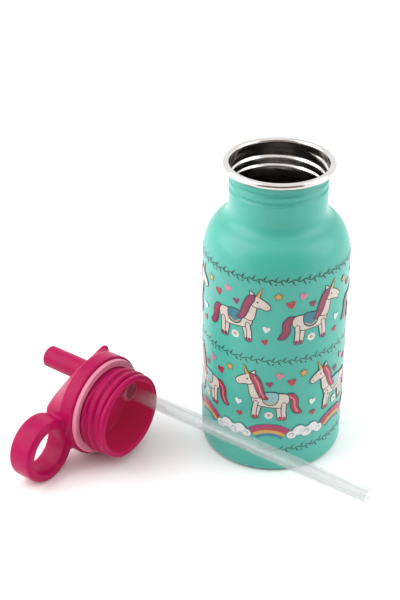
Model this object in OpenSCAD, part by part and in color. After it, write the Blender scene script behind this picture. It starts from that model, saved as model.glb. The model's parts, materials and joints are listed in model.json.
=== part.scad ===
// Kids stainless-steel drinking bottle with a screw-in straw lid.
// The bottle stands on the table; the lid lies beside it on its skirt and its carry loop,
// with the spout up and the straw still in its socket.

/* [Bottle body] */
// Outer diameter over the enamel
body_d = 72; // [66:0.5:80]
// Height to the top of the rolled rim
bottle_h = 156.7; // [150:0.1:190]
// Height where the straight wall ends and the shoulder begins
shoulder_z = 107.8; // [95:0.1:112]
// Height where the shoulder's curve would level out
neck_z = 127.8; // [124:0.1:131]
// Steel wall thickness
wall = 0.5; // [0.4:0.1:0.8]
// Enamel thickness
coat = 0.2; // [0.1:0.05:0.3]
// Radius of the rounded edge at the foot
foot_edge_r = 3.5; // [2:0.5:5]

/* [Neck] */
// Outer diameter of the neck over the enamel
neck_d = 47.4; // [46:0.1:49]
// Diameter of the opening inside the rolled rim
mouth_d = 46.9; // [46.5:0.1:48]
// Radius of the rolled rim's bead
bead_r = 1.7; // [1.5:0.05:1.9]
// Rise of the thread per turn
pitch = 4.5; // [4:0.1:5]
// Turns of thread inside the neck
neck_turns = 2.15; // [1:0.05:2.2]

/* [Lid] */
// Outer radius of the lid's skirt
skirt_r = 26.4; // [26:0.1:28]
// Height of the skirt
skirt_h = 9.5; // [8:0.5:11]
// Length of the screw plug below the gasket's seat
plug_h = 17.1; // [15:0.1:20]
// Radius of the plug's barrel between its threads
plug_r = 21.3; // [21:0.1:22]
// Radius of the plug's open end inside
plug_bore_r = 19.2; // [19:0.1:20]
// Turns of thread on the plug
plug_turns = 2.25; // [1:0.05:2.3]
// Outer radius of the gasket
gasket_r = 25.2; // [24:0.1:26]
// Height of the housing's ridge above the gasket's seat
ridge_z = 21.8; // [20:0.1:24]
// Half the housing's width along its ridge
ridge_half_w = 9.4; // [9:0.1:11]

/* [Carry loop] */
// Distance from the lid's axis to the loop's centre
loop_x = 37.1; // [36:0.1:40]
// Outer radius of the loop
loop_r = 16.6; // [15:0.1:18]
// Radius of the loop's eye
eye_r = 11.2; // [10:0.1:12]
// Lower face of the loop above the gasket's seat
loop_z = 4.8; // [4:0.1:6]
// Height of the loop's band
loop_h = 13.5; // [11:0.1:14]

/* [Spout] */
// Distance from the lid's axis to the spout's axis
spout_x = 13.8; // [13:0.1:14]
// Outer radius of the spout's tube
spout_r = 5.85; // [5.5:0.05:6]
// Radius of the drinking bore
spout_bore_r = 3.2; // [2.5:0.1:3.5]
// Height of the spout's tip above the gasket's seat
spout_tip_z = 49; // [40:0.5:50]
// Height of the spout's hinge above the gasket's seat
pivot_z = 14.5; // [14:0.1:15]

/* [Straw] */
// Outer radius of the straw
straw_r = 3.7; // [3:0.05:3.7]
// Wall of the straw
straw_wall = 0.9; // [0.6:0.1:1.2]
// Length of straw below the gasket's seat
straw_l = 145.8; // [120:0.1:150]

/* [Lid on the table] */
// Where the lid's gasket centre lies, left of the bottle's axis
lid_x = -85.7; // [-110:0.1:-80]
// Where the lid's gasket centre lies, in front of the bottle's axis
lid_y = -15.3; // [-30:0.1:-5]
// Heading of the spout on the table
lid_heading = 143.7; // [140:0.1:146]

/* [Hidden] */
$fn = 64;

turquoise = [0.38, 0.80, 0.72];
hot_pink = [0.84, 0.13, 0.42];
pale_pink = [0.93, 0.55, 0.68];
milky = [0.95, 0.93, 0.94, 0.6];

// Bottle: every wall is drawn at a depth t inside the steel's outer surface.
steel_r = body_d/2 - coat;
neck_r = neck_d/2 - coat;
mouth_r = mouth_d/2;
// The shoulder is a quarter of an ellipse, cut short at shoulder_end, where a fillet that
// touches it turns up into the neck.
shoulder_axis_r = neck_r + 0.5;
shoulder_w = steel_r - shoulder_axis_r;
shoulder_h = neck_z - shoulder_z;
shoulder_end = 72;
join_r = shoulder_axis_r + shoulder_w*cos(shoulder_end);
join_z = shoulder_z + shoulder_h*sin(shoulder_end);
join_lean = atan2(shoulder_w*sin(shoulder_end), shoulder_h*cos(shoulder_end));
fillet_r = (join_r - neck_r)/(1 - cos(join_lean));
fillet_z = join_z + fillet_r*sin(join_lean);
bead_x = mouth_r + bead_r;
bead_z = bottle_h - bead_r;
flare_z = bead_z - 8;
flare_h = 5.7;
coat_top_z = bead_z - bead_r - 0.5;
coat_foot_angle = -60;
foot_inner_r = 29.5;
arc_steps = 6;
shoulder_steps = 14;
neck_thread_z = 141.4;
thread_depth = 0.7;
thread_embed = 0.4;
thread_root_w = 3;
neck_crest_w = 0.9;
plug_crest_w = 1;

// Base disc: rests on the foot's inner flange and rises to a shallow recess.
disc_t = 0.6;
disc_r = 31.5;
disc_step_r = 27.5;
disc_step_run = 1;
disc_step_lag = 0.4;
disc_rise = 2.2;

// Lid pieces, in the lid's own frame: gasket's seat at zero, spout towards +Z, loop towards +X.
gasket_t = 2;
gasket_edge_r = 0.3;
lip_h = 3;
lip_r = 22.1;
lip_edge_r = 0.9;
plug_crest_r = 22.7;
plug_thread_z = -13.6;
plate_z = 1.5;
plate_t = 2;
plate_top_z = plate_z + plate_t;
chamber_r = 19;
chamber_top_z = 5.6;
skirt_edge_r = 0.8;
skirt_top_z = skirt_h - 1;
ridge_edge_r = 2.4;
housing_back_x = -27.2;
roll_r = 1.9;
roll_x = -26.8;
roll_rise = 0.2;
roll_inset = 0.4;
housing_foot_r = skirt_r - 1.3;
housing_foot_z = 5.5;
housing_foot_t = 1;
housing_front_x = 13;
housing_toe_x = 22;
housing_toe_z = 19.6;
loop_edge_r = 1.6;
knuckle_r = 6.2;
knuckle_w = 12.2;
play = 0.3;
channel_w = knuckle_w + 2*play;
channel_floor_z = pivot_z - knuckle_r - play;
channel_back_x = -spout_x - knuckle_r - play;
channel_front_x = 21.6;
trunnion_r = 2;
trunnion_l = 2.6;
trunnion_play = 0.05;
spout_edge_r = 1;
seat_r = 4.4;
seat_lip_r = 5.6;
seat_top_z = pivot_z - knuckle_r - 0.2;
grommet_r = 5.3;
grommet_neck_r = 4.6;
grommet_h = 7;
grommet_bore_r = straw_r + 0.05;
grommet_top_z = plate_top_z + 1;
straw_top_z = -0.2;
stop_r = 2.8;
vent_x = 9;
vent_hole_r = 1.6;

// How far a cut runs past the face it opens
cut = 1;

// The lid lies on its skirt and loop, so its roll follows from their radii.
lid_roll = acos((skirt_r - loop_r)/loop_x);
lid_z = skirt_r;

module on_table() {
  translate([lid_x, lid_y, lid_z]) rotate([0, 0, lid_heading]) rotate([0, 90, 0])
    rotate([0, 0, lid_roll]) children();
}

// Points of an arc about c, with radii rx and rz, from angle a0 to a1
function arc(c, rx, rz, a0, a1, n) =
  [for (i = [0:n]) let (a = a0 + (a1 - a0)*i/n) [c[0] + rx*cos(a), c[1] + rz*sin(a)]];

// The bottle's outline at depth t, from the foot (starting at angle a0) up to height top
function outline(t, a0, top) = concat(
  arc([steel_r - foot_edge_r, foot_edge_r], foot_edge_r - t, foot_edge_r - t, a0, 0, arc_steps),
  arc([shoulder_axis_r, shoulder_z], shoulder_w - t, shoulder_h - t, 0, shoulder_end,
      shoulder_steps),
  arc([neck_r + fillet_r, fillet_z], fillet_r + t, fillet_r + t, 180 + 0.85*join_lean, 180, 5),
  [[neck_r - t, flare_z],
   [mouth_r + wall - t, flare_z + flare_h],
   [mouth_r + wall - t, top]]);

function reversed(p) = [for (i = [len(p) - 1:-1:0]) p[i]];

// A helical ridge from radius root_r to crest_r, tapering away at both ends
module helical_ridge(root_r, crest_r, z0, root_w, crest_w, turns) {
  per_turn = 36;
  n = round(turns*per_turn);
  run_out = 5;
  function height(i) = max(0.03, min(1, i/run_out, (n - i)/run_out));
  function section(i) = let (
      a = 360*i/per_turn,
      z = z0 + pitch*i/per_turn,
      r = root_r + (crest_r - root_r)*height(i))
    [for (p = [[root_r, root_w/2], [r, crest_w/2], [r, -crest_w/2], [root_r, -root_w/2]])
      [p[0]*cos(a), p[0]*sin(a), z + p[1]]];
  points = [for (i = [0:n]) each section(i)];
  sides = [for (i = [0:n - 1], j = [0:3]) let (k = (j + 1)%4)
    each [[4*i + j, 4*i + k, 4*i + 4 + k], [4*i + j, 4*i + 4 + k, 4*i + 4 + j]]];
  ends = [[3, 2, 1, 0], [4*n, 4*n + 1, 4*n + 2, 4*n + 3]];
  faces = concat(sides, ends);
  outward = crest_r > root_r;
  polyhedron(points, outward ? [for (f = faces) reversed(f)] : faces);
}

// A ring section with rounded corners, for rotate_extrude
module rounded_band(r0, r1, z0, z1, e) {
  translate([r0 + e, z0]) square([r1 - r0 - 2*e, z1 - z0]);
  translate([r0, z0 + e]) square([r1 - r0, z1 - z0 - 2*e]);
  for (x = [r0 + e, r1 - e], z = [z0 + e, z1 - e]) translate([x, z]) circle(e);
}

module steel_flask() {
  color("silver") union() {
    rotate_extrude() {
      polygon(concat(outline(0, -90, bead_z), reversed(outline(wall, -90, bead_z)),
                     [[foot_inner_r, wall], [foot_inner_r, 0]]));
      // Rolled rim: an open curl whose edge stops short of the wall
      difference() {
        translate([bead_x, bead_z]) circle(bead_r);
        translate([bead_x, bead_z]) circle(bead_r - wall);
        translate([mouth_r + wall, bead_z - 2*bead_r]) square([bead_r - wall, 2*bead_r]);
      }
    }
    helical_ridge(neck_r - wall + thread_embed, neck_r - wall - thread_depth, neck_thread_z,
                  thread_root_w, neck_crest_w, neck_turns);
  }
}

module base_disc() {
  color("gainsboro") rotate_extrude()
    polygon([[0, wall + disc_rise], [disc_step_r - disc_step_run, wall + disc_rise],
             [disc_step_r, wall], [disc_r, wall], [disc_r, wall + disc_t],
             [disc_step_r + disc_step_lag, wall + disc_t],
             [disc_step_r - disc_step_run + disc_step_lag, wall + disc_rise + disc_t],
             [0, wall + disc_rise + disc_t]]);
}

module enamel_coat() {
  color(turquoise) rotate_extrude()
    polygon(concat(outline(-coat, coat_foot_angle, coat_top_z),
                   reversed(outline(0, coat_foot_angle, coat_top_z))));
}

module thread_plug() {
  on_table() color(hot_pink) difference() {
    union() {
      rotate_extrude() {
        translate([plug_bore_r, lip_edge_r - plug_h])
          square([plug_r - plug_bore_r, plug_h - lip_edge_r + plate_z + 0.5]);
        rounded_band(plug_bore_r, lip_r, -plug_h, lip_h - plug_h, lip_edge_r);
      }
      translate([0, 0, plate_z]) cylinder(r = plug_r, h = plate_t);
      helical_ridge(plug_r - thread_embed, plug_crest_r, plug_thread_z, thread_root_w,
                    plug_crest_w, plug_turns);
    }
    translate([-spout_x, 0, 0]) cylinder(r = grommet_neck_r, h = plate_top_z + cut);
    translate([vent_x, 0, 0]) cylinder(r = vent_hole_r, h = plate_top_z + cut);
  }
}

module lid_gasket() {
  on_table() color(pale_pink) rotate_extrude()
    rounded_band(plug_r + 0.15, gasket_r, -gasket_t, 0, gasket_edge_r);
}

// Raised housing that slopes up from the skirt to a ridge on each side of the spout
module housing() {
  hull() {
    translate([0, 0, housing_foot_z]) cylinder(r = housing_foot_r, h = housing_foot_t);
    for (s = [-1, 1]) {
      translate([housing_back_x + ridge_edge_r, s*(ridge_half_w - ridge_edge_r),
                 ridge_z - ridge_edge_r]) sphere(ridge_edge_r, $fn = 24);
      translate([housing_front_x, s*(ridge_half_w - ridge_edge_r), ridge_z - ridge_edge_r])
        sphere(ridge_edge_r, $fn = 24);
      translate([housing_toe_x - ridge_edge_r, s*(ridge_half_w - ridge_edge_r),
                 housing_toe_z - ridge_edge_r]) sphere(ridge_edge_r, $fn = 24);
    }
  }
  // Thumb roll along the top of its back
  translate([roll_x, 0, ridge_z - roll_r + roll_rise]) rotate([90, 0, 0])
    cylinder(r = roll_r, h = 2*(ridge_half_w - roll_inset), center = true);
}

module lid_cover() {
  on_table() color(hot_pink) difference() {
    union() {
      rotate_extrude() {
        rounded_band(plug_r - cut, skirt_r, 0, skirt_top_z, skirt_edge_r);
        translate([0, chamber_top_z]) square([plug_r, skirt_top_z - chamber_top_z]);
      }
      housing();
      translate([loop_x, 0, 0]) rotate_extrude()
        rounded_band(eye_r - cut, loop_r, loop_z, loop_z + loop_h, loop_edge_r);
    }
    // Seat of the screw plug, and the air chamber above it
    translate([0, 0, -cut]) cylinder(r = plug_r, h = plate_top_z + cut);
    cylinder(r = chamber_r, h = chamber_top_z);
    // Channel that the spout folds into, with its hinge bores and the water passage
    translate([channel_back_x, -channel_w/2, channel_floor_z])
      cube([channel_front_x - channel_back_x, channel_w, ridge_z]);
    translate([-spout_x, -channel_w/2 - trunnion_l, pivot_z]) rotate([-90, 0, 0])
      cylinder(r = trunnion_r + trunnion_play, h = channel_w + 2*trunnion_l);
    translate([-spout_x, 0, 0]) cylinder(r = seat_r, h = ridge_z);
    translate([vent_x, 0, 0]) cylinder(r = vent_hole_r, h = ridge_z);
    // Eye of the carry loop
    translate([loop_x, 0, loop_z - cut]) cylinder(r = eye_r, h = ridge_z);
  }
}

module air_vent() {
  on_table() color(milky) translate([vent_x, 0, 0]) union() {
    translate([0, 0, plate_z - 0.9]) cylinder(r = 3.2, h = 0.9);
    translate([0, 0, plate_z - 0.2]) cylinder(r = vent_hole_r, h = plate_t + 0.2);
    translate([0, 0, plate_top_z]) cylinder(r = 2.2, h = 0.9);
  }
}

module straw_grommet() {
  on_table() color(milky) translate([-spout_x, 0, 0]) difference() {
    union() {
      translate([0, 0, -grommet_h]) cylinder(r = grommet_r, h = grommet_h + plate_z);
      cylinder(r = grommet_neck_r, h = plate_top_z + 0.5);
      translate([0, 0, plate_top_z]) cylinder(r = seat_lip_r, h = grommet_top_z - plate_top_z);
    }
    translate([0, 0, -grommet_h - cut]) cylinder(r = grommet_bore_r, h = grommet_h + cut);
    translate([0, 0, -cut]) cylinder(r = stop_r, h = ridge_z);
  }
}

module spout_seat() {
  on_table() color(pale_pink) translate([-spout_x, 0, 0]) difference() {
    union() {
      translate([0, 0, grommet_top_z]) cylinder(r = seat_lip_r, h = chamber_top_z - grommet_top_z);
      translate([0, 0, grommet_top_z]) cylinder(r = seat_r, h = seat_top_z - grommet_top_z);
    }
    cylinder(r = stop_r, h = ridge_z);
  }
}

module flip_spout() {
  on_table() color(hot_pink) translate([-spout_x, 0, pivot_z]) difference() {
    union() {
      rotate_extrude() {
        square([spout_r, spout_tip_z - pivot_z - spout_edge_r]);
        square([spout_r - spout_edge_r, spout_tip_z - pivot_z]);
        translate([spout_r - spout_edge_r, spout_tip_z - pivot_z - spout_edge_r])
          circle(spout_edge_r);
      }
      rotate([90, 0, 0]) cylinder(r = knuckle_r, h = knuckle_w, center = true);
      rotate([90, 0, 0]) cylinder(r = trunnion_r, h = channel_w + 2*trunnion_l - 2*play,
                                  center = true);
    }
    translate([0, 0, -knuckle_r - cut]) cylinder(r = spout_bore_r, h = spout_tip_z);
  }
}

module straw() {
  on_table() color(milky) translate([-spout_x, 0, -straw_l]) difference() {
    cylinder(r = straw_r, h = straw_l + straw_top_z);
    translate([0, 0, -cut]) cylinder(r = straw_r - straw_wall, h = straw_l + 2*cut);
  }
}

steel_flask();
base_disc();
enamel_coat();
thread_plug();
lid_gasket();
lid_cover();
air_vent();
straw_grommet();
spout_seat();
flip_spout();
straw();
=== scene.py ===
"""Looks of a kids steel drinking bottle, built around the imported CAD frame.

The bottle stands on its foot at the origin. The lid lies beside it, so its pieces are made in the
lid's own frame (millimetres, gasket seat at zero, spout along +Z, carry loop along +X) and placed
by the frame's own joints and mounts.
"""
import json
import math

import bmesh
import bpy
import numpy as np
from mathutils import Matrix, Vector
from mathutils.geometry import tessellate_polygon


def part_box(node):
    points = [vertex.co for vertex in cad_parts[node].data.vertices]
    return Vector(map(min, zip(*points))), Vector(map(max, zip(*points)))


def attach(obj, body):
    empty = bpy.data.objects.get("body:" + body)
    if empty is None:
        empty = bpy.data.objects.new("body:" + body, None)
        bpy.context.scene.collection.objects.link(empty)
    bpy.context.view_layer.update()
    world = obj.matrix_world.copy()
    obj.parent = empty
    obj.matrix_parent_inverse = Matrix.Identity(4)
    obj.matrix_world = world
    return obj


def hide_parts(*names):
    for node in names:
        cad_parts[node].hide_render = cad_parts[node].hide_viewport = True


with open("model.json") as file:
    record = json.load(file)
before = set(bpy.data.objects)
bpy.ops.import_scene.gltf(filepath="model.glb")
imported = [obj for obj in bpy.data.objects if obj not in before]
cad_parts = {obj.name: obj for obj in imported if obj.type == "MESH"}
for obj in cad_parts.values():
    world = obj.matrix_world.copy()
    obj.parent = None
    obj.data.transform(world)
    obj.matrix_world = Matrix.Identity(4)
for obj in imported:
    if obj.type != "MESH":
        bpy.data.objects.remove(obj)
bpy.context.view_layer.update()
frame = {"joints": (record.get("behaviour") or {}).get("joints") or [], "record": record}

MM = 0.001
TAU = 2 * math.pi
scene = bpy.context.scene

# ---------------------------------------------------------------- driving dimensions, millimetres
WALL, COAT = 0.5, 0.2                 # steel and enamel
STEEL_INSET, COAT_INSET = 0.01, 0.02  # keep the coat's inner face just inside the steel
FOOT_EDGE_R, FOOT_INNER_R = 3.5, 29.5
NECK_OUT_R, MOUTH_R, BEAD_R = 23.7, 23.45, 1.7
NECK_Z = 127.8                        # where the shoulder's curve would level out
SHOULDER_END = 72                     # angle where the shoulder's ellipse gives way to the neck
PITCH, NECK_TURNS, PLUG_TURNS = 4.5, 2.15, 2.25
NECK_THREAD_Z, NECK_THREAD_DEPTH, NECK_THREAD_HALF_W = 141.4, 0.9, 1.2
DISC_R, DISC_STEP_R, DISC_RISE, DISC_T = 31.5, 27.5, 2.2, 0.6

PLUG_R, PLUG_BORE_R, PLUG_H, PLUG_LIP_R, PLUG_LIP_H = 21.3, 19.2, 17.1, 22.1, 3.0
PLUG_THREAD_Z, PLUG_THREAD_DEPTH, PLUG_THREAD_HALF_W = -13.6, 1.4, 1.6
PLATE_Z, PLATE_TOP_Z = 1.5, 3.5
GASKET_R, GASKET_T = 25.2, 2.0
SKIRT_TOP_Z = 7.5                     # where the round skirt starts to turn into the ridge
RIDGE_Z, RIDGE_HALF_W = 21.8, 9.4
BACK_X, FRONT_X, TOE_X, TOE_Z = -27.2, 13.0, 22.0, 19.6
ROLL_X, ROLL_R, ROLL_DROP = -26.8, 2.0, 0.6
LOOP_R, LOOP_Z, LOOP_H = 16.6, 4.8, 13.5
SPOUT_X, PIVOT_Z, SPOUT_TIP_Z, SPOUT_R, SPOUT_BORE_R = 13.8, 14.5, 49.0, 5.85, 3.2
KNUCKLE_R, KNUCKLE_W, CHANNEL_W, PLAY = 6.2, 12.2, 12.8, 0.3
TRUNNION_R, TRUNNION_L = 2.0, 2.6
GROMMET_R, GROMMET_H, GROMMET_BORE_R = 5.3, 7.0, 3.75
STRAW_R, STRAW_WALL, STRAW_L, STRAW_TOP_Z = 3.7, 0.9, 145.8, -0.2
SEAT_BORE_R, SEAT_R, SEAT_FLANGE_R, SEAT_FLANGE_Z = 2.8, 4.35, 5.6, 5.6
VENT_X, VENT_R = 9.0, 3.2

# ---------------------------------------------------------------- sizes and places from the frame
record = frame["record"]
mount = {m["name"]: m for m in record["mounts"]}
joint = {j["name"]: j for j in frame["joints"]}
BODY_R = mount["body_barrel"]["dims"]["r_mm"]
barrel_mid = mount["body_barrel"]["pos_m"][2] / MM
SHOULDER_Z = barrel_mid + mount["body_barrel"]["dims"]["length_mm"] / 2
BOTTLE_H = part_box("steel_flask")[1].z / MM
EYE_R = mount["loop_eye"]["dims"]["r_mm"]

lid_z = Vector(mount["loop_eye"]["axis"]).normalized()
lid_y = Vector(joint["spout_flip"]["axis"]).normalized()
lid_x = lid_y.cross(lid_z)
pivot = Vector(joint["spout_flip"]["pos_m"]) / MM
lid_origin = pivot + SPOUT_X * lid_x - PIVOT_Z * lid_z
LID = Matrix.Translation(lid_origin * MM) @ Matrix((lid_x, lid_y, lid_z)).transposed().to_4x4()
eye = Vector(mount["loop_eye"]["pos_m"]) / MM
LOOP_X = (eye - lid_origin).dot(lid_x)
SKIRT_R = lid_origin.z
UPRIGHT = Matrix.Identity(4)

STEEL_R = BODY_R - COAT
NECK_R = NECK_OUT_R - COAT
BEAD_Z = BOTTLE_H - BEAD_R
BEAD_X = MOUTH_R + BEAD_R
FLARE_Z, FLARE_H = BEAD_Z - 8, 5.7
CHANNEL_FLOOR = PIVOT_Z - KNUCKLE_R - PLAY
CHANNEL_BACK = -SPOUT_X - KNUCKLE_R - PLAY
CHANNEL_FRONT = 21.6


# ---------------------------------------------------------------- camera
def make_camera():
    """A long lens above the table, looking down at the bottle's front."""
    tilt = 31.58
    data = bpy.data.cameras.new("camera")
    data.lens = 78
    data.sensor_width = 36
    data.clip_start = 0.01
    camera = bpy.data.objects.new("camera", data)
    camera.location = (-0.03715, -0.55068, 0.41838)
    camera.rotation_euler = (math.radians(90 - tilt), 0, 0)
    scene.collection.objects.link(camera)
    scene.camera = camera


make_camera()


# ---------------------------------------------------------------- mesh helpers
def new_piece(name, verts, faces, material, body, place=UPRIGHT, nodes=()):
    """A mesh object from points in millimetres, riding on a body and standing for CAD nodes."""
    mesh = bpy.data.meshes.new(name)
    mesh.from_pydata([tuple(v) for v in np.asarray(verts, float) * MM], [], faces)
    mesh.transform(place)
    mesh.validate()
    mesh.polygons.foreach_set("use_smooth", [True] * len(mesh.polygons))
    mesh.materials.append(material)
    piece = bpy.data.objects.new(name, mesh)
    scene.collection.objects.link(piece)
    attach(piece, body)
    if nodes:
        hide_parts(*nodes)
    return piece


def arc(cx, cz, r, a0, a1, n=8, rz=None):
    """Points (r, z) on an arc from angle a0 to a1, in degrees."""
    angles = np.radians(np.linspace(a0, a1, n + 1))
    return [(cx + r * math.cos(a), cz + (rz or r) * math.sin(a)) for a in angles]


def refine_side(side, step):
    """Splits an open line's long stretches into steps of about this length."""
    points = []
    for (r0, z0), (r1, z1) in zip(side, side[1:]):
        n = max(1, round(math.hypot(r1 - r0, z1 - z0) / step))
        points += [(r0 + (r1 - r0) * i / n, z0 + (z1 - z0) * i / n) for i in range(n)]
    return points + [side[-1]]


def refine(outline, step):
    """refine_side() for a closed outline, with the stretch back to its start."""
    return refine_side(outline + outline[:1], step)[:-1]


def lathe(name, outline, turns, material, body, place=UPRIGHT, nodes=(), centre=(0, 0),
          shape=None):
    """Turns a closed (r, z) outline about Z. shape(r, z, angle) may move r, as a thread does."""
    ring = np.array(outline, float)
    angles = np.linspace(0, TAU, turns, endpoint=False)
    r = np.repeat(ring[None, :, 0], turns, 0)
    z = np.repeat(ring[None, :, 1], turns, 0)
    a = np.repeat(angles[:, None], len(ring), 1)
    if shape:
        r = shape(r, z, a)
    verts = np.stack([centre[0] + r * np.cos(a), centre[1] + r * np.sin(a), z], -1).reshape(-1, 3)
    n = len(ring)
    faces = []
    for i in range(turns):
        for k in range(n):
            here, nxt = i * n + k, i * n + (k + 1) % n
            on, on_nxt = (i + 1) % turns * n + k, (i + 1) % turns * n + (k + 1) % n
            faces.append((here, on, on_nxt, nxt))
    piece = new_piece(name, verts, faces, material, body, place, nodes)
    weld(piece)
    return piece


def weld(piece, distance=1e-6):
    """Joins points that coincide, such as a lathe's points on its own axis, and faces outward."""
    bm = bmesh.new()
    bm.from_mesh(piece.data)
    bmesh.ops.remove_doubles(bm, verts=bm.verts, dist=distance)
    bmesh.ops.dissolve_degenerate(bm, edges=bm.edges, dist=distance)
    bmesh.ops.recalc_face_normals(bm, faces=bm.faces)
    bm.to_mesh(piece.data)
    bm.free()


def crisp(piece, degrees=35):
    """Keeps edges sharper than this angle crisp in the smooth shading."""
    mesh = piece.data
    bm = bmesh.new()
    bm.from_mesh(mesh)
    for edge in bm.edges:
        edge.smooth = len(edge.link_faces) != 2 or edge.calc_face_angle(0) < math.radians(degrees)
    bm.to_mesh(mesh)
    bm.free()


# ---------------------------------------------------------------- solids from distance fields
def smooth_min(a, b, k):
    h = np.clip(0.5 + 0.5 * (b - a) / k, 0, 1)
    return b * (1 - h) + a * h - k * h * (1 - h)


def smooth_max(a, b, k):
    return -smooth_min(-a, -b, k)


def rounded(dx, dz, r):
    """Distance to a corner of two half-spaces, rounded to radius r."""
    dx, dz = dx + r, dz + r
    return np.hypot(np.maximum(dx, 0), np.maximum(dz, 0)) + np.minimum(np.maximum(dx, dz), 0) - r


def solid_mesh(field, low, high, step):
    """Surface of field(x, y, z) < 0 as quads: a point per crossed cell, drawn onto the surface."""
    axes = [np.arange(lo - step, hi + 2 * step, step) for lo, hi in zip(low, high)]
    grid = np.meshgrid(*axes, indexing="ij")
    inside = field(*grid) < 0
    count = np.zeros([n - 1 for n in inside.shape], int)
    for i, j, k in np.ndindex(2, 2, 2):
        count += inside[i:inside.shape[0] - 1 + i, j:inside.shape[1] - 1 + j,
                        k:inside.shape[2] - 1 + k]
    crossed = (count > 0) & (count < 8)
    index = -np.ones(crossed.shape, int)
    index[crossed] = np.arange(crossed.sum())
    cells = np.argwhere(crossed)
    points = np.stack([axes[d][cells[:, d]] + step / 2 for d in range(3)], -1)
    faces = []
    for d in range(3):
        u, v = (d + 1) % 3, (d + 2) % 3
        a = np.take(inside, range(0, inside.shape[d] - 1), d)
        b = np.take(inside, range(1, inside.shape[d]), d)
        where = np.argwhere(a != b)
        where = where[(where[:, u] > 0) & (where[:, v] > 0)]
        quad = []
        for du, dv in ((0, 0), (1, 0), (1, 1), (0, 1)):
            cell = where.copy()
            cell[:, u] -= du
            cell[:, v] -= dv
            quad.append(index[tuple(cell.T)])
        quad = np.stack(quad, -1)
        flip = ~a[tuple(where.T)]
        quad[flip] = quad[flip][:, ::-1]
        faces.append(quad[:, ::-1])
    faces = np.concatenate(faces)
    points = relax(points, faces)
    for _ in range(6):
        points = onto_surface(field, points, step)
    return points, faces.tolist()


def relax(points, faces, rounds=2):
    """Moves each point towards the middle of its faces' points, which evens the stair steps."""
    for _ in range(rounds):
        total = np.zeros_like(points)
        number = np.zeros(len(points))
        middle = points[faces].mean(1)
        for k in range(4):
            np.add.at(total, faces[:, k], middle)
            np.add.at(number, faces[:, k], 1)
        points = total / number[:, None]
    return points


def onto_surface(field, p, step):
    """One Newton step towards the field's zero, no longer than the grid's step."""
    value = field(*p.T)
    nudges = 0.02 * np.eye(3)
    slope = np.stack([(field(*(p + e).T) - field(*(p - e).T)) / (2 * e.sum()) for e in nudges], -1)
    size = np.maximum((slope ** 2).sum(1), 0.05)
    move = slope * (value / size)[:, None]
    length = np.linalg.norm(move, axis=1)
    return p - move * np.minimum(1, step / np.maximum(length, 1e-9))[:, None]


# ---------------------------------------------------------------- materials
NOISE_LOW, NOISE_HIGH = 0.3, 0.7      # where nearly all of a noise texture's values lie


def material(name, colour, rough, metal=0.0, **sockets):
    """A Principled material. sockets name further inputs that are the same all over."""
    m = bpy.data.materials.new(name)
    m.use_nodes = True
    shader = m.node_tree.nodes["Principled BSDF"]
    shader.inputs["Base Color"].default_value = (*colour, 1)
    shader.inputs["Roughness"].default_value = rough
    shader.inputs["Metallic"].default_value = metal
    for socket, value in sockets.items():
        shader.inputs[socket.replace("_", " ")].default_value = value
    m.diffuse_color = (*colour, 1)
    return m


def add_node(m, kind, **values):
    """A node of a material, with its own settings and input values set by name."""
    node = m.node_tree.nodes.new(kind)
    for key, value in values.items():
        if hasattr(node, key):
            setattr(node, key, value)
        else:
            node.inputs[key.replace("_", " ")].default_value = value
    return node


def position(m, scale):
    """Object coordinates, stretched by scale, as a texture vector."""
    coordinate = add_node(m, "ShaderNodeTexCoord")
    mapping = add_node(m, "ShaderNodeMapping")
    mapping.inputs["Scale"].default_value = scale
    m.node_tree.links.new(coordinate.outputs["Object"], mapping.inputs["Vector"])
    return mapping.outputs["Vector"]


def grain(m, scale, detail=3.0, stretch=(1, 1, 1)):
    """A noise texture in object space and its value output."""
    noise = add_node(m, "ShaderNodeTexNoise", Scale=scale, Detail=detail)
    m.node_tree.links.new(position(m, stretch), noise.inputs["Vector"])
    return noise.outputs["Fac"]


def spread(m, value, low, high):
    """Maps a noise value onto low to high."""
    node = add_node(m, "ShaderNodeMapRange")
    node.inputs["From Min"].default_value = NOISE_LOW
    node.inputs["From Max"].default_value = NOISE_HIGH
    node.inputs["To Min"].default_value = low
    node.inputs["To Max"].default_value = high
    m.node_tree.links.new(value, node.inputs["Value"])
    return node.outputs["Result"]


def into(m, value, socket):
    m.node_tree.links.new(value, m.node_tree.nodes["Principled BSDF"].inputs[socket])


def tint(m, value, dark, light):
    """Mixes two base colours by a noise value."""
    ramp = add_node(m, "ShaderNodeValToRGB")
    ramp.color_ramp.elements[0].position = NOISE_LOW
    ramp.color_ramp.elements[1].position = NOISE_HIGH
    ramp.color_ramp.elements[0].color = (*dark, 1)
    ramp.color_ramp.elements[1].color = (*light, 1)
    m.node_tree.links.new(value, ramp.inputs["Fac"])
    into(m, ramp.outputs["Color"], "Base Color")


def bump(m, heights, distance):
    """Adds bump from a list of height outputs, summed."""
    total = heights[0]
    for height in heights[1:]:
        add = add_node(m, "ShaderNodeMath", operation="ADD")
        m.node_tree.links.new(total, add.inputs[0])
        m.node_tree.links.new(height, add.inputs[1])
        total = add.outputs[0]
    node = add_node(m, "ShaderNodeBump", Distance=distance, Strength=1.0)
    m.node_tree.links.new(total, node.inputs["Height"])
    into(m, node.outputs["Normal"], "Normal")


def shade(colour, factor):
    return tuple(min(1.0, c * factor) for c in colour)


def enamel_material():
    """Glossy sprayed enamel: faint orange peel, and a little drift in its colour."""
    base = (0.0515, 0.385, 0.309)
    m = material("enamel", base, 0.3, Coat_Weight=0.3, Coat_Roughness=0.3, Specular_IOR_Level=0.35)
    tint(m, grain(m, 25, 4), shade(base, 0.96), shade(base, 1.04))
    into(m, spread(m, grain(m, 90, 2), 0.3, 0.4), "Roughness")
    bump(m, [grain(m, 420, 2)], 0.00006)
    return m


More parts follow.
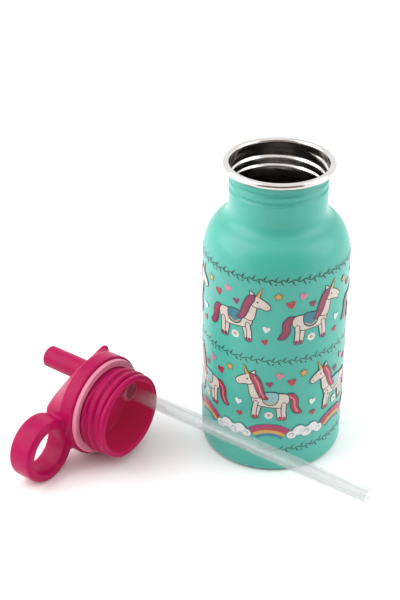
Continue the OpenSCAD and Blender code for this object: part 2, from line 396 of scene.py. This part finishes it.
def steel_material(name, rough_low, rough_high, lines):
    """Stainless steel with the fine turning lines of a drawn and polished shell."""
    m = material(name, (0.64, 0.615, 0.60), rough_low, 1.0)
    streaks = grain(m, 60, 4, (0.4, 0.4, lines))
    into(m, spread(m, streaks, rough_low, rough_high), "Roughness")
    tint(m, grain(m, 40, 3), (0.60, 0.575, 0.56), (0.68, 0.66, 0.65))
    bump(m, [streaks], 0.00002)
    return m


def along(m, axis):
    """How far a point lies from the lid's origin along one of its axes, in metres."""
    links = m.node_tree.links
    offset = add_node(m, "ShaderNodeVectorMath", operation="SUBTRACT")
    offset.inputs[1].default_value = lid_origin * MM
    links.new(position(m, (1, 1, 1)), offset.inputs[0])
    dot = add_node(m, "ShaderNodeVectorMath", operation="DOT_PRODUCT")
    dot.inputs[1].default_value = axis
    links.new(offset.outputs["Vector"], dot.inputs[0])
    return dot.outputs["Value"]


def across(m):
    """Where a point lies in the lid's cross-section, as a texture vector."""
    section = add_node(m, "ShaderNodeCombineXYZ")
    m.node_tree.links.new(along(m, lid_x), section.inputs["X"])
    m.node_tree.links.new(along(m, lid_y), section.inputs["Y"])
    return section.outputs["Vector"]


def below(m, value, limit):
    """1 where a value is under its limit, else 0."""
    node = add_node(m, "ShaderNodeMath", operation="LESS_THAN")
    node.inputs[1].default_value = limit
    m.node_tree.links.new(value, node.inputs[0])
    return node.outputs[0]


def painted_plug_glow(m, colour, strength):
    """Painted glow: emission in the plug's bore that stands in for the light which comes through
    the plug's thin wall and lights up its bore.
    """
    links = m.node_tree.links
    radius = add_node(m, "ShaderNodeVectorMath", operation="LENGTH")
    links.new(across(m), radius.inputs[0])
    inside = below(m, radius.outputs["Value"], (PLUG_BORE_R + 0.9) * MM)
    under = below(m, along(m, lid_z), (PLATE_Z + 0.2) * MM)
    glow_mask = add_node(m, "ShaderNodeMath", operation="MULTIPLY")
    links.new(inside, glow_mask.inputs[0])
    links.new(under, glow_mask.inputs[1])
    glow = add_node(m, "ShaderNodeVectorMath", operation="SCALE")
    glow.inputs[0].default_value = colour
    links.new(glow_mask.outputs[0], glow.inputs["Scale"])
    into(m, glow.outputs["Vector"], "Emission Color")
    m.node_tree.nodes["Principled BSDF"].inputs["Emission Strength"].default_value = strength


def plastic_material():
    """Injection-moulded polypropylene: semi-gloss, softly mottled, with a trace of light inside,
    and a painted glow in the plug's bore.
    """
    base = (0.385, 0.0035, 0.076)
    m = material("lid_plastic", base, 0.4, Subsurface_Weight=0.3, Subsurface_Scale=0.004,
                 Specular_IOR_Level=0.12)
    m.node_tree.nodes["Principled BSDF"].inputs["Subsurface Radius"].default_value = (1, 0.25, 0.4)
    tint(m, grain(m, 60, 5), shade(base, 0.93), shade(base, 1.05))
    into(m, spread(m, grain(m, 220, 3), 0.28, 0.4), "Roughness")
    bump(m, [grain(m, 1500, 3), grain(m, 120, 2)], 0.00004)
    # painted glow: the plug's bore emits a faint pink light in place of the light that comes
    # through its wall
    painted_plug_glow(m, (1, 0.06, 0.15), 0.12)
    return m


def silicone_material(name, colour, rough, **sockets):
    """Soft silicone: matt, with the fine texture of its mould."""
    m = material(name, colour, rough, **sockets)
    tint(m, grain(m, 150, 4), shade(colour, 0.94), shade(colour, 1.03))
    into(m, spread(m, grain(m, 600, 3), rough - 0.06, rough + 0.06), "Roughness")
    bump(m, [grain(m, 2500, 2)], 0.00004)
    return m


def straw_material():
    """Milky extruded polypropylene with drawing lines along it; inside the lid it is made less
    opaque, a painted stand-in for the shade and pink light in the plug's bore.
    """
    base = (0.42, 0.46, 0.46)
    m = material("straw_plastic", base, 0.2, Specular_IOR_Level=0.7)
    links = m.node_tree.links
    lines = add_node(m, "ShaderNodeTexNoise", Scale=760, Detail=3)
    links.new(across(m), lines.inputs["Vector"])
    tint(m, lines.outputs["Fac"], shade(base, 0.8), shade(base, 1.3))
    into(m, spread(m, grain(m, 300, 3), 0.16, 0.26), "Roughness")
    # Painted shade: the straw's opacity drops inside the lid, so the darker pink bore shows through
    # it there.
    mouth, inside, outside = -PLUG_H * MM, 0.006, 0.008
    out = add_node(m, "ShaderNodeMapRange")
    for socket, value in {"From Min": mouth + inside, "From Max": mouth - outside,
                          "To Min": 0.3, "To Max": 1.0}.items():
        out.inputs[socket].default_value = value
    links.new(along(m, lid_z), out.inputs["Value"])
    milk_and_painted_shade = add_node(m, "ShaderNodeMath", operation="MULTIPLY")
    links.new(out.outputs["Result"], milk_and_painted_shade.inputs[0])
    links.new(spread(m, lines.outputs["Fac"], 0.08, 0.40), milk_and_painted_shade.inputs[1])
    into(m, milk_and_painted_shade.outputs[0], "Alpha")
    return m


ENAMEL = enamel_material()
BRIGHT_STEEL = steel_material("polished_steel", 0.08, 0.2, 30)
DISC_STEEL = steel_material("spun_steel", 0.2, 0.34, 4)
PINK = plastic_material()
GASKET = silicone_material("gasket_silicone", (0.76, 0.25, 0.39), 0.55, Subsurface_Weight=0.15,
                           Subsurface_Scale=0.002)
CLEAR = silicone_material("clear_silicone", (0.74, 0.20, 0.33), 0.24, Alpha=0.42,
                          Specular_IOR_Level=0.8)
STRAW = straw_material()


# ---------------------------------------------------------------- bottle
def thread_height(z, a, z0, turns, half_width):
    """Height, 0 to 1, of a helical ridge at each (z, angle), running out at both ends."""
    run_out = 0.12
    height = np.zeros_like(z)
    for lap in range(-1, math.ceil(turns) + 1):
        t = a / TAU + lap
        centre = z0 + PITCH * t
        crest = np.clip(1 - ((z - centre) / half_width) ** 2, 0, 1) ** 0.9
        fade = np.clip(np.minimum(t, turns - t) / run_out, 0, 1)
        height = np.maximum(height, crest * fade * fade * (3 - 2 * fade))
    return height


def bottle_outline(t, foot_angle, top):
    """The bottle's side at depth t inside the steel's outer surface, from its foot up."""
    side = arc(STEEL_R - FOOT_EDGE_R, FOOT_EDGE_R, FOOT_EDGE_R - t, foot_angle, 0)
    axis_r, end = NECK_R + 0.5, math.radians(SHOULDER_END)
    wide, high = STEEL_R - axis_r, NECK_Z - SHOULDER_Z
    side += arc(axis_r, SHOULDER_Z, wide - t, 0, SHOULDER_END, 26, rz=high - t)
    lean = math.atan2(wide * math.sin(end), high * math.cos(end))
    fillet = (axis_r + wide * math.cos(end) - NECK_R) / (1 - math.cos(lean))
    fillet_z = SHOULDER_Z + high * math.sin(end) + fillet * math.sin(lean)
    side += arc(NECK_R + fillet, fillet_z, fillet + t, 180 + 0.9 * math.degrees(lean), 180, 12)
    side += [(NECK_R - t, FLARE_Z), (MOUTH_R + WALL - t, FLARE_Z + FLARE_H)]
    return side + [(MOUTH_R + WALL - t, top)]


def neck_step(side):
    """Fine steps on the threaded neck, coarse ones on the plain body."""
    low = [p for p in side if p[1] <= NECK_Z]
    high = [p for p in side if p[1] > NECK_Z]
    return refine_side(low, 4.0) + refine_side(high, 0.3)


def rolled(r, z, a):
    """Rolls the neck's thread into a wall."""
    groove = thread_height(z, a, NECK_THREAD_Z, NECK_TURNS, NECK_THREAD_HALF_W)
    return r - NECK_THREAD_DEPTH * groove * (r < NECK_R + 1) * (z > NECK_Z)


def make_flask():
    outside = neck_step(bottle_outline(STEEL_INSET, -90, BEAD_Z))
    inside = neck_step(bottle_outline(WALL, -90, BEAD_Z))
    curl_out = arc(BEAD_X, BEAD_Z, BEAD_R, 180, -85, 30)
    curl_in = arc(BEAD_X, BEAD_Z, BEAD_R - WALL, -85, 180, 24)
    ring = [(FOOT_INNER_R, STEEL_INSET)] + outside + list(reversed(curl_in))[1:]
    ring += list(reversed(curl_out))[:-1] + list(reversed(inside)) + [(FOOT_INNER_R, WALL)]
    piece = lathe("flask", ring, 256, BRIGHT_STEEL, "bottle", nodes=["steel_flask"],
                  shape=rolled)
    crisp(piece, 50)


def make_coat():
    top = BEAD_Z - BEAD_R - 0.5
    outside = neck_step(bottle_outline(-COAT, -60, top))
    inside = neck_step(bottle_outline(COAT_INSET, -60, top))
    lathe("enamel", outside + list(reversed(inside)), 256, ENAMEL, "bottle",
          nodes=["enamel_coat"], shape=rolled)


def make_disc():
    """The pressed base: a recessed panel with one shallow stiffening ring."""
    low, ring_depth = WALL + DISC_RISE, 0.25
    panel = [(0, low), (9.5, low), (10, low - ring_depth), (11.5, low - ring_depth), (12, low),
             (DISC_STEP_R - 1, low), (DISC_STEP_R, WALL), (DISC_R, WALL)]
    back = [(r + 0.5 * (r > DISC_STEP_R - 2) * (r < DISC_R), z + DISC_T)
            for r, z in reversed(panel)]
    piece = lathe("base_panel", refine_side(panel, 1.5) + refine_side(back, 1.5), 128, DISC_STEEL,
                  "bottle", nodes=["base_disc"])
    crisp(piece, 40)


make_flask()
make_coat()
make_disc()


# ---------------------------------------------------------------- printed pattern
# Flat shapes on the barrel's unrolled surface, in millimetres: s runs round from the front
# (to the right), z runs up. They are painted in order, each a hair above the one before.
FACET = 1.5                           # width of the flat facets that carry the print
TILE = math.pi * BODY_R / 3           # width of one repeat of the pattern
PRINT_LIFT, PRINT_STEP = 0.02, 0.0008
EDGE = 0.44                           # width of the dark line round a shape
GARLAND_ZS = (111.8, 67.4, 14.2)
UPPER_Z, LOWER_Z, RAINBOW_Z = 88.6, 44.4, 13.6
ROW_START = 0.42                      # where the upper row starts, in repeats from the front
ink_sheets = {}


def spline(points, closed=True, n=6):
    """A smooth curve through the points (Catmull-Rom)."""
    p = np.array(points, float)
    if closed:
        p = np.vstack([p[-1], p, p[0], p[1]])
    else:
        p = np.vstack([2 * p[0] - p[1], p, 2 * p[-1] - p[-2]])
    out = []
    for a, b, c, d in zip(p, p[1:], p[2:], p[3:]):
        for t in np.linspace(0, 1, n, endpoint=False):
            out.append(0.5 * (2 * b + (c - a) * t + (2 * a - 5 * b + 4 * c - d) * t ** 2
                              + (3 * b - a - 3 * c + d) * t ** 3))
    if not closed:
        out.append(p[-2])
    return np.array(out)


def normals(line, closed):
    """Unit normals of a 2-D line, to the right of its direction."""
    if closed:
        ahead = np.roll(line, -1, 0) - np.roll(line, 1, 0)
    else:
        ahead = np.gradient(line, axis=0)
    ahead /= np.maximum(np.linalg.norm(ahead, axis=1), 1e-9)[:, None]
    return np.stack([ahead[:, 1], -ahead[:, 0]], -1)


def area(line):
    x, y = line.T
    return 0.5 * np.sum(x * np.roll(y, -1) - np.roll(x, -1) * y)


def grown(line, width):
    """The outline pushed outward by this width."""
    side = 1 if area(line) > 0 else -1
    return line + side * width * normals(line, True)


def ribbon(points, width, taper=False):
    """A stroke of this width along a smooth line, with pointed ends."""
    line = spline(points, closed=False)
    half = width / 2 * np.ones(len(line))
    if taper:
        half *= np.linspace(1, 0.35, len(line))
    aside = normals(line, False)
    right, left = line + aside * half[:, None], line - aside * half[:, None]
    ahead = np.stack([-aside[:, 1], aside[:, 0]], -1)
    tip = line[-1] + ahead[-1] * half[-1] * 0.8
    foot = line[0] - ahead[0] * half[0] * 0.8
    return np.vstack([right, tip, left[::-1], foot])


def disk(s, z, r, rz=None):
    a = np.linspace(0, TAU, 20, endpoint=False)
    return np.stack([s + r * np.cos(a), z + (rz or r) * np.sin(a)], -1)


def turned(shape, s, z, size, degrees):
    """A unit shape scaled, turned and moved to (s, z)."""
    c, d = math.cos(math.radians(degrees)), math.sin(math.radians(degrees))
    return np.array(shape) @ np.array([[c, d], [-d, c]]) * size + (s, z)


def heart(s, z, size, degrees=0):
    half = [(0, -0.62), (0.3, -0.3), (0.52, 0.0), (0.55, 0.28), (0.36, 0.46), (0.14, 0.4)]
    outline = half + [(0, 0.22)] + [(-x, y) for x, y in reversed(half[1:])]
    return turned(outline, s, z, size, degrees)


def star(s, z, size, degrees=0):
    points = [(math.sin(k * math.pi / 5) * (0.55, 0.25)[k % 2],
               math.cos(k * math.pi / 5) * (0.55, 0.25)[k % 2]) for k in range(10)]
    return turned(points, s, z, size, degrees)


def bow(s, z, r0, r1, a0, a1):
    """A band of a rainbow about (s, z)."""
    a = np.radians(np.linspace(a0, a1, 24))
    outer = np.stack([s + r1 * np.cos(a), z + r1 * np.sin(a)], -1)
    inner = np.stack([s + r0 * np.cos(a[::-1]), z + r0 * np.sin(a[::-1])], -1)
    return np.vstack([outer, inner])


def paint(outline, colour, edge=0.0):
    """Adds a shape to the sheet of its ink, over a darker and slightly larger copy if edged."""
    if edge:
        paint(grown(outline, edge), "line")
    height = PRINT_LIFT + PRINT_STEP * sum(len(sheet) for sheet in ink_sheets.values())
    ink_sheets.setdefault(colour, []).append((outline, height))


def garland(z):
    """A trailing vine: a wavy stem with a leaf at each crest, and a dot now and then."""
    s = np.arange(-1.5 * TILE, 1.5 * TILE + 0.5, 1.0)
    wave = TILE / 7
    paint(ribbon(np.stack([s, z + 0.6 * np.sin(s * TAU / wave)], -1), 0.4), "line")
    for k in range(42):
        at, side = (k / 2 - 10.4) * wave, 1 - 2 * (k % 2)
        foot, tip = np.array([at, z + 0.5 * side]), np.array([at + 1.1, z + 2.3 * side])
        paint(ribbon([foot, (foot + tip) / 2 + (-0.25, 0), tip], 0.75, True), "line")
        if k % 6 == 2:
            paint(disk(at, z - 1.9 * side, 0.42), "line")


def cloud(puffs):
    """Overlapping round puffs with one outline, and a small curl on every other one."""
    for s, z, r in puffs:
        paint(disk(s, z, r + EDGE * 0.8, r * 0.9 + EDGE * 0.8), "shade")
    for s, z, r in puffs:
        paint(disk(s, z, r, r * 0.9), "white")
    for s, z, r in puffs[::2]:
        curl = [(s - r * 0.5, z), (s - r * 0.1, z + r * 0.4), (s + r * 0.35, z + r * 0.1),
                (s + r * 0.1, z - r * 0.2)]
        paint(ribbon(curl, 0.36), "shade")


def daisy(s, z, size, petal):
    for k in range(7):
        a = TAU * k / 7
        paint(disk(s + size * math.cos(a), z + size * math.sin(a), size * 0.5), petal)
    paint(disk(s, z, size * 0.45), "yellow")


def rainbow(s, z, radius):
    inks, width = ("magenta", "crimson", "yellow", "teal"), 1.8
    for k, ink in enumerate(inks):
        paint(bow(s, z, radius - (k + 1) * width, radius - k * width, 130, 50), ink)


# A pony faces right, in its own millimetres from the middle of its belly.
PONY_SIZE = 0.93
BODY = [(-9, 3.6), (-4, 4.3), (2, 3.4), (7, 4.4), (9.6, 1), (8, -3.2), (1, -4.2), (-6, -4.2),
        (-9.8, -1)]
NECK = [(4.4, 2.4), (6.4, 7), (8.6, 12), (12.2, 11), (11.8, 6.6), (9.8, 0.6)]
HEAD = [(8.6, 12.4), (10.6, 15), (14, 14), (18, 11), (19.2, 8.8), (17.4, 7.2), (14, 8.4),
        (10.6, 9)]
EAR = [(9.4, 14.2), (9, 17.6), (11.6, 14.8)]
HORN = [(12, 14.9), (15.4, 20.2), (13.7, 14.1)]
MANE = [(10.8, 15.4), (7.4, 14), (4.8, 9), (3.2, 3.6), (1.2, 0.8), (4.6, 1), (7, 4.4), (9, 9.4),
        (11, 12.6)]
TAIL = [(-8.6, 3.4), (-12, 4.2), (-14.8, 0.6), (-15.2, -4.4), (-17.4, -8.4), (-13.8, -8.2),
        (-11.4, -4), (-11.4, -0.4)]


def pony(s, z, facing, mane, streak, blanket):
    """A plain nursery pony, at a walk."""
    def put(points):
        return turned(np.array(points, float) * (facing, 1), s, z, PONY_SIZE, 2 * facing)

    def fill(points, ink):
        paint(spline(put(points)), ink, EDGE)

    def stripe(points, width, ink, edge=0.0):
        paint(ribbon(put(points), width * PONY_SIZE), ink, edge)

    def leg(x, swing):
        a = math.radians(swing)
        hip, down = np.array([x, -2.0]), np.array([math.sin(a), -math.cos(a)])
        stripe([hip, hip + 5 * down + (0.3, 0), hip + 10 * down], 2.1, "cream", EDGE)
        stripe([hip + d * down for d in (8.8, 9.4, 10)], 1.9, mane)

    fill(TAIL, mane)
    stripe([(-9.6, 3), (-12.8, 0.4), (-13.4, -4), (-15.2, -7.6)], 0.8, streak)
    leg(-4.6, -8)
    leg(4.8, 12)
    fill(BODY, "cream")
    leg(-7.6, -3)
    leg(7.2, 5)
    fill([(-3.6, 4.6), (3, 4.2), (3.4, -1), (0, -3), (-3.6, -1)], blanket)
    stripe([(-3.2, -0.6), (0, -2.2), (3, -0.6)], 0.6, "yellow")
    fill(NECK, "cream")
    fill(HEAD, "cream")
    fill(EAR, "cream")
    paint(put(HORN), "yellow", EDGE)
    fill(MANE, mane)
    stripe([(9, 13.6), (6.6, 9.6), (5.2, 5), (3.4, 2)], 0.8, streak)
    paint(disk(*put([(12.8, 11.6)])[0], 0.5), "line")
    paint(disk(*put([(17.6, 9)])[0], 0.3), "line")


def strewn(s, z, facing):
    """The hearts, star and daisy round one pony."""
    paint(heart(s - 10.5 * facing, z + 10.5, 4, 12), "crimson")
    paint(heart(s - 4.5 * facing, z + 14.5, 3.6, -14), "pink")
    paint(heart(s + 0.5 * facing, z + 9.4, 3.2, 8), "plum")
    paint(heart(s + 16 * facing, z - 3.4, 3.4, -10), "white")
    paint(heart(s + 15.4 * facing, z - 10.4, 3, 16), "crimson")
    paint(star(s - 16.4 * facing, z + 15, 4.2, 10), "yellow", 0.25)
    daisy(s + 0.4 * facing, z - 9, 1.5, "white")


def draw_pattern():
    """Two rows of ponies, half a repeat apart, over linked rainbows and between vines."""
    for z in GARLAND_ZS:
        garland(z)
    for k in (-1, 0, 1):
        upper, lower = (k + ROW_START) * TILE, (k + ROW_START - 0.5) * TILE
        strewn(upper, UPPER_Z, 1)
        pony(upper, UPPER_Z, 1, "plum", "crimson", "teal")
        rainbow(lower, RAINBOW_Z, 16.4)
        strewn(lower, LOWER_Z, -1)
        pony(lower, LOWER_Z, -1, "crimson", "pink", "sky")
    for k in (-1, 0, 1):
        s = (k + ROW_START) * TILE
        cloud([(s - 7.4, 23, 2.6), (s - 3.6, 25, 3.2), (s + 0.6, 23.4, 3.2), (s + 4, 25, 2.9),
               (s + 7.4, 23, 2.5)])


def on_barrel(s, z, lift):
    """A point of the flat sheet, moved onto the facets round the barrel."""
    k = math.floor(s / FACET)
    part = s / FACET - k
    ends = [Vector((math.sin(a), -math.cos(a), 0)) for a in (k * FACET / BODY_R,
                                                             (k + 1) * FACET / BODY_R)]
    point = ends[0].lerp(ends[1], part) * (BODY_R + lift)
    point.z = z
    return point


def ink_material(name, colour):
    """Screen-printed ink under the gloss: a little drift in tone and a faint dot texture."""
    m = material("ink_" + name, colour, 0.34, Coat_Weight=0.35, Coat_Roughness=0.15)
    tint(m, grain(m, 300, 4), shade(colour, 0.9), shade(colour, 1.06))
    into(m, spread(m, grain(m, 700, 2), 0.3, 0.42), "Roughness")
    bump(m, [grain(m, 1800, 2)], 0.00001)
    return m


def make_print(name, shapes, colour):
    """One ink's shapes, cut along the facets, wrapped round the front and again round the back."""
    bm = bmesh.new()
    for outline, lift in shapes:
        corners = [bm.verts.new((s, z, lift)) for s, z in outline]
        loop = [Vector((s, z, 0)) for s, z in outline]
        for triangle in tessellate_polygon([loop]):
            corner = [corners[i] for i in triangle]
            if not bm.faces.get(corner):
                bm.faces.new(corner)
    reach = max(abs(v.co.x) for v in bm.verts)
    for k in range(-int(reach / FACET) - 1, int(reach / FACET) + 2):
        whole = bm.verts[:] + bm.edges[:] + bm.faces[:]
        bmesh.ops.bisect_plane(bm, geom=whole, dist=1e-5, plane_co=(k * FACET, 0, 0),
                               plane_no=(1, 0, 0))
    bmesh.ops.delete(bm, geom=[v for v in bm.verts if not v.link_faces], context="VERTS")
    bm.verts.index_update()
    flat = [v.co.copy() for v in bm.verts]
    faces = [[v.index for v in face.verts] for face in bm.faces]
    bm.free()
    verts = [on_barrel(*co) for co in flat]
    verts += [Vector((-v.x, -v.y, v.z)) for v in verts]
    faces += [[i + len(flat) for i in face] for face in faces]
    piece = new_piece("print_" + name, verts, faces, ink_material(name, colour), "bottle")
    face_outward(piece)


def face_outward(piece):
    """Turns every face of a print to face away from the bottle's axis."""
    bm = bmesh.new()
    bm.from_mesh(piece.data)
    inward = [f for f in bm.faces if f.normal.dot(f.calc_center_median() * Vector((1, 1, 0))) < 0]
    bmesh.ops.reverse_faces(bm, faces=inward)
    bm.to_mesh(piece.data)
    bm.free()


INKS = {"line": (0.008, 0.007, 0.01), "crimson": (0.34, 0.01, 0.03), "plum": (0.19, 0.01, 0.07),
        "magenta": (0.29, 0.01, 0.11), "pink": (0.54, 0.17, 0.28), "yellow": (0.50, 0.28, 0.04),
        "teal": (0.008, 0.16, 0.22), "sky": (0.21, 0.43, 0.45), "cream": (0.56, 0.50, 0.44),
        "white": (0.61, 0.63, 0.63), "shade": (0.10, 0.19, 0.22)}

draw_pattern()
for ink, shapes in ink_sheets.items():
    make_print(ink, shapes, INKS[ink])


# ---------------------------------------------------------------- lid
def cover_field(x, y, z):
    """Outer moulding: skirt, raised housing with its thumb roll, spout channel, carry loop."""
    out = np.hypot(x, y)
    morph = np.clip((z - SKIRT_TOP_Z) / (RIDGE_Z - SKIRT_TOP_Z), 0, 1)
    middle, half = (BACK_X + TOE_X) / 2, (TOE_X - BACK_X) / 2
    bar = rounded(np.abs(x - middle) - half, np.abs(y) - RIDGE_HALF_W, 3.0)
    side = (out - SKIRT_R) * (1 - morph) + bar * morph
    slope = (RIDGE_Z - TOE_Z) / (TOE_X - FRONT_X)
    top = smooth_max(z - RIDGE_Z, z - RIDGE_Z + slope * (x - FRONT_X), 2)
    body = smooth_max(side, top, 3.2)
    roll = rounded(np.hypot(x - ROLL_X, z - RIDGE_Z + ROLL_R + ROLL_DROP) - ROLL_R,
                   np.abs(y) - RIDGE_HALF_W + ROLL_DROP, 1.4)
    body = smooth_max(smooth_min(body, roll, 1.2), -z, 0.9)
    ring = np.hypot(x - LOOP_X, y)
    band = rounded(np.abs(ring - (EYE_R + LOOP_R) / 2) - (LOOP_R - EYE_R) / 2,
                   np.abs(z - LOOP_Z - LOOP_H / 2) - LOOP_H / 2, 2.0)
    solid = smooth_max(smooth_min(body, band, 2.0), -np.maximum(ring - EYE_R, LOOP_Z - 1 - z), 0.8)
    channel = np.maximum(np.maximum(np.abs(y) - CHANNEL_W / 2, CHANNEL_FLOOR - z),
                         np.maximum(CHANNEL_BACK - x, x - CHANNEL_FRONT))
    solid = smooth_max(solid, -channel, 0.9)
    plug_seat = np.maximum(out - PLUG_R, z - PLATE_TOP_Z)
    return np.maximum(solid, -plug_seat)


def make_cover():
    reach = LOOP_X + LOOP_R
    verts, faces = solid_mesh(cover_field, (ROLL_X - ROLL_R, -SKIRT_R, 0),
                              (reach, SKIRT_R, RIDGE_Z), 0.5)
    new_piece("cover", verts, faces, PINK, "lid", LID, ["lid_cover"])


def spout_field(x, y, z):
    """Spout in the lid's frame: tube, knuckle and two trunnions, with the drinking bore."""
    x, z = x + SPOUT_X, z - PIVOT_Z
    length = SPOUT_TIP_Z - PIVOT_Z
    out = np.hypot(x, y)
    tube = rounded(out - SPOUT_R, np.maximum(z - length, -z), 1.1)
    knuckle = rounded(np.hypot(x, z) - KNUCKLE_R, np.abs(y) - KNUCKLE_W / 2, 0.8)
    trunnion = rounded(np.hypot(x, z) - TRUNNION_R,
                       np.abs(y) - CHANNEL_W / 2 - TRUNNION_L + PLAY, 0.4)
    body = smooth_min(smooth_min(tube, knuckle, 1.5), trunnion, 0.2)
    return smooth_max(body, SPOUT_BORE_R - out, 0.8)


def make_spout():
    reach_y = CHANNEL_W / 2 + TRUNNION_L
    verts, faces = solid_mesh(spout_field, (-SPOUT_X - KNUCKLE_R, -reach_y, PIVOT_Z - KNUCKLE_R),
                              (-SPOUT_X + KNUCKLE_R, reach_y, SPOUT_TIP_Z), 0.4)
    new_piece("spout", verts, faces, PINK, "spout", LID, ["flip_spout"])


def make_plug():
    """Inner screw moulding: threaded barrel with a rounded lip, open below."""
    lip = 1.3
    outside = [(PLUG_R, PLATE_Z + 1.9), (PLUG_R, PLUG_LIP_H - PLUG_H + 0.6)]
    outside += arc(PLUG_LIP_R - lip, PLUG_LIP_H - PLUG_H - lip, lip, 90, 0, 5)
    outside += arc(PLUG_LIP_R - lip, lip - PLUG_H, lip, 0, -90, 5)
    inside = arc(PLUG_BORE_R + lip, lip - PLUG_H, lip, 270, 180, 6)
    inside += arc(PLUG_BORE_R - 1.5, PLATE_Z - 1.5, 1.5, 0, 90, 5)
    ring = refine_side(outside, 0.3) + refine_side(inside, 1.0)
    ring += [(0, PLATE_Z), (0, PLATE_TOP_Z - 0.1), (PLUG_R, PLATE_TOP_Z - 0.1)]

    def shape(r, z, a):
        ridge = thread_height(z, a, PLUG_THREAD_Z, PLUG_TURNS, PLUG_THREAD_HALF_W)
        return r + PLUG_THREAD_DEPTH * ridge * (r > PLUG_BORE_R + 1) * (z < 0)
    lathe("screw_plug", ring, 256, PINK, "lid", LID, ["thread_plug"], shape=shape)


def make_gasket():
    """Flat silicone ring, its outer edge a little conical and only just rounded."""
    e, slope = 0.3, 0.25
    inner = PLUG_R + 0.15
    ring = arc(GASKET_R - e, -e, e, 90, 0, 4)
    ring += arc(GASKET_R - e - slope, e - GASKET_T, e, 0, -90, 4)
    ring += [(inner + 0.3, -GASKET_T), (inner, 0.3 - GASKET_T), (inner, 0)]
    piece = lathe("gasket", refine(ring, 0.5), 192, GASKET, "lid", LID,
                  ["lid_gasket"])
    crisp(piece, 40)


def make_grommet():
    """Clear straw socket: a soft sleeve with a rounded mouth."""
    e = 0.8
    bore, stop = GROMMET_BORE_R, 2.8
    ring = arc(GROMMET_R - e, e - GROMMET_H, e, 0, -90, 6)
    ring += arc(bore + e / 2, e / 2 - GROMMET_H, e / 2, 270, 180, 5) + [(bore, 0), (stop, 0)]
    ring += [(stop, PLATE_TOP_Z + 1), (GROMMET_R, PLATE_TOP_Z + 1), (GROMMET_R, 0)]
    lathe("straw_socket", ring, 96, CLEAR, "lid", LID, ["straw_grommet"],
          centre=(-SPOUT_X, 0))


def make_vent():
    """Mushroom vent valve with a domed head."""
    head = arc(0, PLATE_Z - 0.2, VENT_R, 0, -90, 8, rz=0.9)
    lathe("vent_valve", [(0, PLATE_Z + 0.3), (VENT_R, PLATE_Z + 0.2)] + head, 64, CLEAR, "lid",
          LID, ["air_vent"], centre=(VENT_X, 0))


def make_seat():
    """Silicone valve seat that the spout's knuckle wipes over."""
    top = PIVOT_Z - KNUCKLE_R - 0.2
    ring = [(SEAT_BORE_R, PLATE_TOP_Z + 1), (SEAT_BORE_R, top - 0.4), (SEAT_BORE_R + 0.4, top),
            (SEAT_R - 0.35, top), (SEAT_R, top - 0.4), (SEAT_R, SEAT_FLANGE_Z),
            (SEAT_FLANGE_R, SEAT_FLANGE_Z), (SEAT_FLANGE_R, PLATE_TOP_Z + 1)]
    lathe("spout_seal", ring, 64, GASKET, "lid", LID, ["spout_seat"],
          centre=(-SPOUT_X, 0))


def make_straw():
    """Straight straw with softly rounded ends."""
    e = STRAW_WALL * 0.45
    inner = STRAW_R - STRAW_WALL
    ring = arc(STRAW_R - e, STRAW_TOP_Z - e, e, 90, 0, 4)
    ring += arc(STRAW_R - e, e - STRAW_L, e, 0, -90, 4)
    ring += arc(inner + e, e - STRAW_L, e, 270, 180, 4)
    ring += arc(inner + e, STRAW_TOP_Z - e, e, 180, 90, 4)
    lathe("straw_tube", refine(ring, 6), 96, STRAW, "straw", LID, ["straw"],
          centre=(-SPOUT_X, 0))


make_cover()
make_spout()
make_plug()
make_gasket()
make_grommet()
make_vent()
make_seat()
make_straw()


# ---------------------------------------------------------------- studio
def make_floor():
    mesh = bpy.data.meshes.new("floor")
    s = 4
    mesh.from_pydata([(-s, -s, 0), (s, -s, 0), (s, s, 0), (-s, s, 0)], [], [(0, 1, 2, 3)])
    mesh.materials.append(material("floor", (0.98, 0.98, 0.985), 0.6))
    floor = bpy.data.objects.new("floor", mesh)
    scene.collection.objects.link(floor)


def make_flag():
    """A brown card behind the camera, which the steel and the enamel mirror."""
    mesh = bpy.data.meshes.new("flag")
    half, back, high = 0.75, -0.74, 0.85
    mesh.from_pydata([(-half, back, 0), (half, back, 0), (half, back, high), (-half, back, high)],
                     [], [(0, 1, 2, 3)])
    mesh.materials.append(material("flag", (0.18, 0.115, 0.095), 0.9))
    flag = bpy.data.objects.new("flag", mesh)
    scene.collection.objects.link(flag)
    flag.visible_camera = False


def area_light(name, place, target, size, power):
    data = bpy.data.lights.new(name, "AREA")
    data.shape = "RECTANGLE"
    data.size, data.size_y = size
    data.energy = power
    light = bpy.data.objects.new(name, data)
    light.location = place
    light.rotation_euler = (Vector(target) - Vector(place)).to_track_quat("-Z", "Y").to_euler()
    scene.collection.objects.link(light)


def make_world():
    """Bright white studio all round."""
    world = bpy.data.worlds.new("studio")
    world.use_nodes = True
    scene.world = world
    background = world.node_tree.nodes["Background"]
    background.inputs["Color"].default_value = (1, 1, 1, 1)
    background.inputs["Strength"].default_value = 1.2


make_floor()
make_flag()
make_world()
area_light("key", (-0.9, -0.05, 0.75), (0, 0, 0.08), (1.1, 1.1), 9.5)
area_light("fill", (0.85, -0.1, 0.6), (0, 0, 0.05), (0.7, 0.8), 3.5)
scene.view_settings.view_transform = "Standard"
